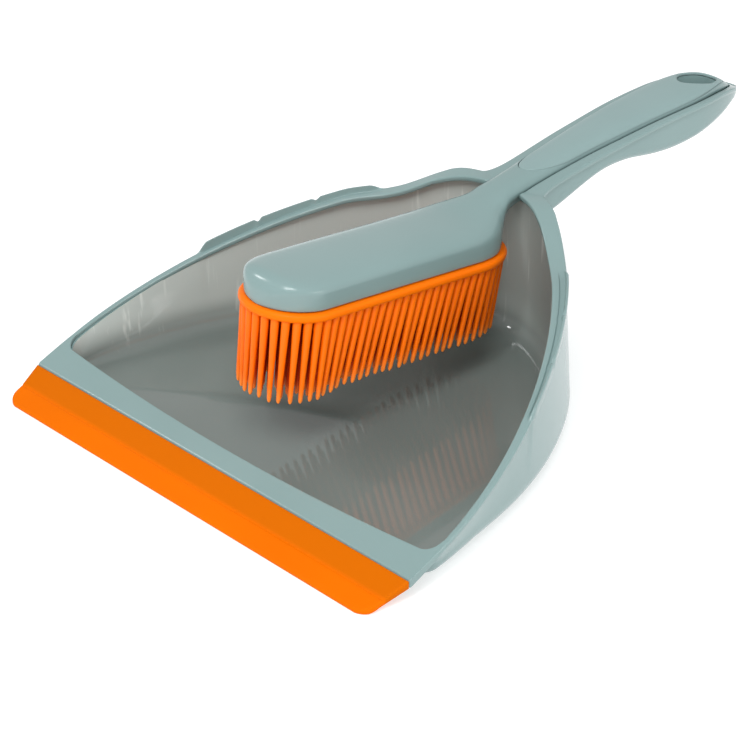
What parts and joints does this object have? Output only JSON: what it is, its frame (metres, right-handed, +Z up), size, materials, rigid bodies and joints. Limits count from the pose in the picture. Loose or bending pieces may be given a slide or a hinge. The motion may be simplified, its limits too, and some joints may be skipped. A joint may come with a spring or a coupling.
{
  "type": "dust pan and brush set",
  "caption": "Wide dust pan with a soft front lip and a hollow handle, and a hand brush with thick rubbery bristles that rests in it.",
  "frame": {"origin": "middle of the footprint, on the floor the pan stands on", "axes": "+Y towards the tip of the handles, +Z up, +X to the right of a user who holds the handle and looks at the lip"},
  "size_m": [0.2172, 0.3329, 0.0862],
  "materials": {
    "grey_plastic": "pale blue-grey moulded plastic with a soft gloss",
    "soft_grip": "matt soft-touch grey",
    "orange_rubber": "bright orange flexible rubbery plastic, satin"
  },
  "bodies": {
    "pan": {"pan_body": "grey_plastic", "pan_lip": "orange_rubber"},
    "brush": {"brush_body": "grey_plastic", "brush_grip": "soft_grip", "bristle_block": "orange_rubber"}
  },
  "joints": [
    {"name": "brush_lift", "type": "slide", "parent": "pan", "child": "brush", "axis": [0, 0, 1], "range_m": [0, 0.12]}
  ]
}
